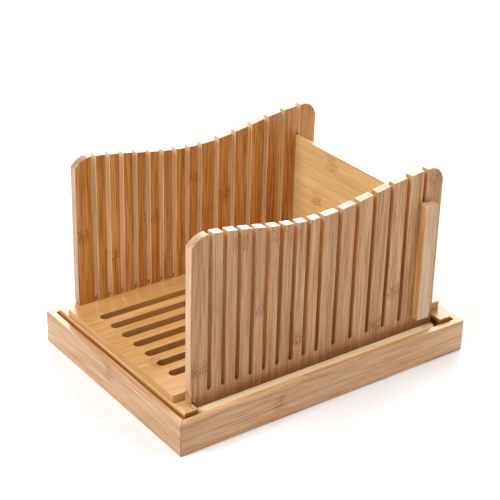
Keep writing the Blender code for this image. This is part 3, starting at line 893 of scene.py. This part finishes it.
def lip_end(side):
    """What is cut off a lip to end it in a quarter round before the rear batten."""
    round_x = LIP_REAR - LIP_END_RADIUS
    round_y = RAIL_OUTSIDE - LIP_END_RADIUS
    plan = [(RAIL_END + BEYOND, RAIL_LIP - BEYOND), (LIP_REAR, RAIL_LIP - BEYOND)]
    plan += arc(round_x, round_y, LIP_END_RADIUS, 0, 90, LIP_STEPS)
    plan += [(round_x, RAIL_OUTSIDE + BEYOND), (RAIL_END + BEYOND, RAIL_OUTSIDE + BEYOND)]
    plan = [(x, side * y) for x, y in plan]
    high = RAIL_TOP + BEYOND
    return plate([plan], high - RAIL_LEDGE, (high + RAIL_LEDGE) / 2, "Z")


def stop_section():
    """A block in front of a guide, hollowed to the guide's round corner."""
    centre_x = GUIDE_FRONT + CORNER_RADIUS
    radius = CORNER_RADIUS + STOP_GAP
    high = CORNER_Z - math.sqrt(radius ** 2 - (CORNER_RADIUS - STOP_INSET) ** 2)
    hollow = []
    for step in range(ROUND_STEPS + 1):
        z = STOP_LOW + (high - STOP_LOW) * step / ROUND_STEPS
        x = centre_x - math.sqrt(radius ** 2 - (CORNER_Z - z) ** 2)
        hollow.append((min(x, -BATTEN_INNER), z))
    return [(GUIDE_FRONT, STOP_LOW)] + hollow + [(GUIDE_FRONT, high)]


def slicer_base():
    metal = steel("screw_steel")
    outline = [
        (-BASE_END, -BOARD_HALF), (BASE_END, -BOARD_HALF),
        (BASE_END, BOARD_HALF), (-BASE_END, BOARD_HALF)]
    slots = [crumb_slot(CRUMB_PITCH * k) for k in range(-3, 4)]
    board = plate(
        [outline] + slots, BOARD_TOP - BOARD_BOTTOM, (BOARD_TOP + BOARD_BOTTOM) / 2, "Z")
    board = rounded(board, BOARD_ARRIS)
    for end, word, seed in ((-1, "front", 2.43), (1, "rear", 7.79)):
        low, high = sorted((end * BATTEN_INNER, end * BASE_END))
        batten = block((low, -BATTEN_HALF, BASE_BOTTOM), (high, BATTEN_HALF, BATTEN_TOP))
        batten = rounded(batten, BATTEN_ARRIS)
        batten = without(batten, screw_bores(end * SCREW_X))
        for side in (-1, 1):
            batten = without(batten, dowel_holes(side))
        board = without(board, screw_bores(end * SCREW_X))
        name = word + "_batten"
        # The battens are darkened towards the bottom by a painted shade
        look = bamboo(name, "YX", BATTEN_STRIPS, seed, FRAME_TINT, foot=BATTEN_PAINTED_SHADE_HEIGHTS)
        dress(batten, name, "slicer_base", look)
        # The battens' ends are end grain, and their very dark tint is also painted shade for the
        # narrow gaps at the tray's walls
        add_look(
            batten,
            bamboo(name + "_end_grain_and_shade", "X", BATTEN_STRIPS, seed, BATTEN_END_SHADE_TINT, figure=CALM),
            lambda face: abs(face.normal.y) > ENDWAYS and abs(face.center.y) > BATTEN_HALF - NEAR)
        for number, y in enumerate(SCREW_YS, 1):
            name = f"{word}_batten_screw_{number}"
            dress(screw(end * SCREW_X, y), name, "slicer_base", metal)
    name = "cutting_board"
    look = bamboo(name, "X", BOARD_STRIPS, 4.37, BOARD_TINT, [(-150, -40), (64, 22)], figure=CALM)
    dress(board, name, "slicer_base", look)
    # The board's ends are end grain, and their darker tint is also painted shade
    add_look(
        board, bamboo(name + "_end_grain_and_shade", "YX", BOARD_STRIPS, 4.37, BOARD_END_SHADE_TINT, figure=CALM),
        lambda face: abs(face.normal.x) > ENDWAYS and abs(face.center.x) > BASE_END - NEAR)

    for side, word, seed in ((-1, "right", 6.61), (1, "left", 9.23)):
        rail = plate([rail_section(side)], 2 * RAIL_END, 0, "X")
        rail = without(rail, lip_end(side))
        rail = rounded(rail, RAIL_ARRIS)
        rail = without(rail, dowel_holes(side))
        name = word + "_rail"
        look = bamboo(name, "X", RAIL_STRIPS, seed, RAIL_TINT)
        dress(rail, name, "slicer_base", look)
        # The flat tops of the rails' crowns get a pale tint: a painted highlight
        add_look(
            rail, bamboo(name + "_crown_highlight", "X", RAIL_STRIPS, seed, CROWN_HIGHLIGHT_TINT),
            lambda face: face.normal.z > UPWARD and face.center.z > RAIL_LEDGE + NEAR)
        stop = plate([stop_section()], GUIDE_THICKNESS, side * GUIDE_Y, "Y")
        stop = rounded(stop, STOP_ARRIS)
        name = word + "_corner_stop"
        look = bamboo(name, "X", STOP_STRIPS, seed + 2, RIGHT_TINT)
        dress(stop, name, "slicer_base", look)


# Comb guides

def top_height(x):
    """The top edge: a dip in the middle, two crests, and rounded ends."""
    reach = min(abs(x - DIP_X) / DIP_HALF_SPAN, 1)
    height = GUIDE_CREST - GUIDE_DIP * math.cos(reach * math.pi / 2) ** 2
    ends = ((x - GUIDE_FRONT, FRONT_CORNER), (GUIDE_REAR - x, REAR_CORNER))
    for inset, (radius, run) in ends:
        if inset < run:
            height += math.sqrt(max(radius ** 2 - (run - inset) ** 2, 0)) - radius
    return height


def top_run(start, end):
    """The top edge of one tine."""
    places = [start + (end - start) * k / TINE_STEPS for k in range(TINE_STEPS + 1)]
    return [(x, top_height(x)) for x in places]


def top_end(end, direction, corner, length):
    """The top edge from a guide's end up to its first slot, over the rounded corner."""
    radius, run = corner
    start = math.asin(run / radius)
    stop = math.asin(max(run - length, 0) / radius)
    points = []
    for step in range(CREST_STEPS + 1):
        angle = start + (stop - start) * step / CREST_STEPS
        x = end + direction * (run - radius * math.sin(angle))
        points.append((x, top_height(x)))
    if run < length:
        x = end + direction * length
        points.append((x, top_height(x)))
    return points


def guide_section():
    loop = arc(GUIDE_FRONT + CORNER_RADIUS, CORNER_Z, CORNER_RADIUS, 270, 180, FOOT_STEPS)
    loop += top_end(GUIDE_FRONT, 1, FRONT_CORNER, SLOTS[0] - SLOT_HALF - GUIDE_FRONT)
    for index, place in enumerate(SLOTS):
        loop += arc(place, BOARD_TOP + SLOT_HALF, SLOT_HALF, 180, 360, SLOT_STEPS)
        if index < len(SLOTS) - 1:
            loop += top_run(place + SLOT_HALF, SLOTS[index + 1] - SLOT_HALF)
    loop += reversed(top_end(GUIDE_REAR, -1, REAR_CORNER, GUIDE_REAR - SLOTS[-1] - SLOT_HALF))
    foot = REAR_FOOT_RADIUS
    loop += arc(GUIDE_REAR - foot, CORNER_Z - CORNER_RADIUS + foot, foot, 0, -90, ROUND_STEPS)
    return loop


def guide_edges(first, second):
    """Full rounding at the ends and the foot, and crisp edges on the tines and in the slots.

    The left guide's slots also have one eased arris on its inner face."""
    inset = min(min(first.x, second.x) - GUIDE_FRONT, GUIDE_REAR - max(first.x, second.x))
    at_end = inset < SLOTS[0] - SLOT_HALF - GUIDE_FRONT - SAME
    at_foot = max(first.z, second.z) < BOARD_TOP - NEAR
    along = abs(first.y - second.y) < SAME
    upright = along and abs(first.x - second.x) < SAME
    on_inner_face = upright and abs(first.y - LEFT_INNER_FACE) < SAME
    eased = on_inner_face and any(abs(first.x - place - SLOT_HALF) < SAME for place in SLOTS)
    return 1.0 if along and (at_end or at_foot or eased) else TINE_SHARE


def in_slot(face):
    """Whether a face of a guide lies in a slot, and not on the guide's rim."""
    inside = GUIDE_FRONT + RIM_REACH < face.center.x < GUIDE_REAR - RIM_REACH
    below_top = face.normal.z < LEVEL or face.center.z < BOARD_TOP + RIM_REACH
    return inside and below_top and face.center.z > BOARD_TOP - NEAR


def is_eased(face):
    """Whether a face of the left guide belongs to the eased arris of a slot."""
    return face.normal.x < -ASLANT and -FLAT < face.normal.y < -ASLANT and in_slot(face)


def guide_look(name, seed, tint, **options):
    return bamboo(name, "Z", GUIDE_STRIPS, seed, tint, chance=0.0, **options)


RIGHT_KNUCKLES = [
    (193, -101), (192, -58), (184, -38), (117, -79), (73, -146),
    (70, -30), (54, 72), (86, 92), (203, 138)]
LEFT_KNUCKLES = [(126, -150), (96, -115), (126, -67), (161, -11), (130, 29)]
# The left guide's tints hold painted shade on its inner face and ends and painted light in its
# slots; the right guide's end tint holds painted light
GUIDES = (
    (-1, "right", 12.29, RIGHT_TINT, RIGHT_TINT, RIGHT_END_LIGHT_TINT, RIGHT_KNUCKLES, LIVELY),
    (1, "left", 17.41, LEFT_INNER_SHADE_TINT, LEFT_SAWN_LIT_TINT, LEFT_END_SHADE_TINT, LEFT_KNUCKLES, STRONG),
)


def comb_guides():
    for side, word, seed, tint, slot_tint, rim_lighting_tint, knuckles, figure in GUIDES:
        name = word + "_guide"
        guide = plate([guide_section()], GUIDE_THICKNESS, side * GUIDE_Y, "Y")
        guide = rounded(guide, GUIDE_ARRIS, guide_edges)
        # Both guides are darkened at the foot by a painted shade
        look = guide_look(name, seed, tint, knuckles=knuckles, figure=figure, foot=GUIDE_PAINTED_SHADE_HEIGHTS)
        dress(guide, name, name, look)
        # The slots' faces are sawn and dull; on the left guide their paler tint is partly raw sawn
        # wood and partly painted light coming in through the slots
        add_look(
            guide, guide_look(name + "_sawn", seed, slot_tint, sawn=True),
            lambda face: abs(face.normal.y) < FLAT and in_slot(face))
        # The guides' ends and top edges get a tint of their own: painted light on the right guide,
        # painted shade on the left one
        add_look(
            guide, guide_look(name + "_rim_painted_lighting", seed, rim_lighting_tint),
            lambda face: abs(face.normal.y) < FLAT and not in_slot(face))
        if side > 0:
            # A pale painted highlight on the eased arris of each slot on the left guide's inner
            # face
            add_look(guide, guide_look(name + "_arris_highlight", seed, ARRIS_HIGHLIGHT_TINT, sawn=True), is_eased)
            # The left guide's outer face gets the right guide's tint, while its inner face keeps a
            # deeper orange: painted shade for the dim space between the guides
            outer = guide_look(
                name + "_outer", seed, RIGHT_TINT, knuckles=knuckles, figure=LIVELY,
                foot=GUIDE_PAINTED_SHADE_HEIGHTS)
            add_look(guide, outer, lambda face: face.normal.y >= FLAT)


# Back board

def back_board():
    name = "back_panel"
    panel = block((PANEL_X[0], -PANEL_HALF, PANEL_Z[0]), (PANEL_X[1], PANEL_HALF, PANEL_Z[1]))
    panel = rounded(panel, PANEL_ARRIS)
    look = bamboo(name, "Y", PANEL_STRIPS, 21.7, PANEL_TINT, [(33, 169), (57, 118)], figure=CALM)
    dress(panel, name, "back_board", look)
    for side, word, seed in ((-1, "right", 14.63), (1, "left", 19.87)):
        low, high = sorted((side * CLEAT_Y[0], side * CLEAT_Y[1]))
        cleat = block((CLEAT_X[0], low, BOARD_TOP), (CLEAT_X[1], high, PANEL_Z[1]))
        cleat = rounded(cleat, CLEAT_ARRIS)
        groove = block(
            (PANEL_X[0] - CLEARANCE, -PANEL_HALF - CLEARANCE, PANEL_Z[0] - CLEARANCE),
            (PANEL_X[1] + CLEARANCE, PANEL_HALF + CLEARANCE, PANEL_Z[1] + BEYOND))
        cleat = without(cleat, groove)
        name = word + "_cleat"
        dress(cleat, name, "back_board", bamboo(name, "Z", CLEAT_STRIPS, seed, CLEAT_TINT))
        # The cleats' end faces get a darker tint: painted shade
        add_look(
            cleat, bamboo(name + "_side", "Z", CLEAT_STRIPS, seed, CLEAT_SIDE_SHADE_TINT),
            lambda face: abs(face.normal.x) > ENDWAYS)


# Hidden pieces that keep their solids, and the tray floor

def carried_over():
    plain = bamboo("joint_bamboo", "X", JOINT_STRIPS, 25.3, FRAME_TINT)
    floor = bamboo("tray_floor", "X", FLOOR_STRIPS, 28.9, BOARD_TINT)
    for name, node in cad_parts.items():
        if node.hide_render:
            continue
        look = floor if name == "tray_floor" else plain
        node.data.materials.clear()
        node.data.materials.append(look)


# Studio

TABLE = ((-4, -4, -0.02), (4, 6, 0))
SKY_STRENGTH = 0.12
LAMP_DISTANCE = 3.5

# Where each soft lamp stands, how wide and high it looks, in degrees, and its radiance
SOFTBOXES = (
    ("back_low", 56, 19, 34, 22, 12.0),
    ("back_high", 45, 40, 50, 22, 5.5),
    ("left", 182, 45, 30, 30, 12.5),
    ("right", 320, 38, 44, 30, 2.5),
)

# The photograph's view, in metres and radians, and its lens in millimetres
CAMERA_PLACE = (-0.79745, -1.06966, 0.79345)
CAMERA_HEADING = 0.6349
CAMERA_TILT = 0.47105
CAMERA_ROLL = 0.02656
SENSOR_WIDTH = 36
FOCAL_LENGTH = 103.85
CLIP_START = 0.05


def studio():
    table = block(*TABLE)
    table.name = "table_top"
    paper, graph, shader, where = new_material("studio_paper")
    grain = graph.add("ShaderNodeTexNoise", {
        "Vector": where, "Scale": PAPER_SCALE, "Detail": PAPER_DETAIL}).outputs["Fac"]
    graph.feed(shader.inputs["Base Color"], graph.mix(grain, *PAPER_SHADES))
    shader.inputs["Roughness"].default_value = PAPER_GLOSS
    shader.inputs["Specular IOR Level"].default_value = PAPER_SPECULAR
    table.data.materials.append(paper)

    world = bpy.data.worlds.new("studio")
    bpy.context.scene.world = world
    world.use_nodes = True
    sky = world.node_tree.nodes["Background"]
    sky.inputs["Color"].default_value = (1, 1, 1, 1)
    sky.inputs["Strength"].default_value = SKY_STRENGTH

    for lamp in SOFTBOXES:
        softbox(*lamp)


def softbox(name, azimuth, elevation, width, height, radiance):
    """A soft lamp that fills an angle as the object sees it. Angles are in degrees."""
    light = bpy.data.lights.new(name, "AREA")
    light.shape = "RECTANGLE"
    light.size = 2 * LAMP_DISTANCE * math.tan(math.radians(width / 2))
    light.size_y = 2 * LAMP_DISTANCE * math.tan(math.radians(height / 2))
    light.energy = math.pi * radiance * light.size * light.size_y
    lamp = bpy.data.objects.new(name, light)
    turn = math.radians(azimuth)
    rise = math.radians(elevation)
    level = math.cos(rise)
    way = Vector((math.cos(turn) * level, math.sin(turn) * level, math.sin(rise)))
    lamp.location = way * LAMP_DISTANCE
    lamp.rotation_euler = way.to_track_quat("Z", "Y").to_euler()
    bpy.context.scene.collection.objects.link(lamp)


def camera():
    level = math.cos(CAMERA_TILT)
    ahead = Vector((
        math.sin(CAMERA_HEADING) * level, math.cos(CAMERA_HEADING) * level,
        -math.sin(CAMERA_TILT)))
    right = Vector((math.cos(CAMERA_HEADING), -math.sin(CAMERA_HEADING), 0))
    above = right.cross(ahead)
    tilted_right = right * math.cos(CAMERA_ROLL) + above * math.sin(CAMERA_ROLL)
    tilted_above = above * math.cos(CAMERA_ROLL) - right * math.sin(CAMERA_ROLL)
    lens = bpy.data.cameras.new("camera")
    lens.sensor_width = SENSOR_WIDTH
    lens.lens = FOCAL_LENGTH
    lens.clip_start = CLIP_START
    eye = bpy.data.objects.new("camera", lens)
    turn = Matrix((tilted_right, tilted_above, -ahead)).transposed()
    eye.matrix_world = Matrix.Translation(CAMERA_PLACE) @ turn.to_4x4()
    bpy.context.scene.collection.objects.link(eye)
    bpy.context.scene.camera = eye


crumb_tray()
slicer_base()
comb_guides()
back_board()
carried_over()
studio()
camera()
bpy.context.scene.view_settings.view_transform = "Standard"
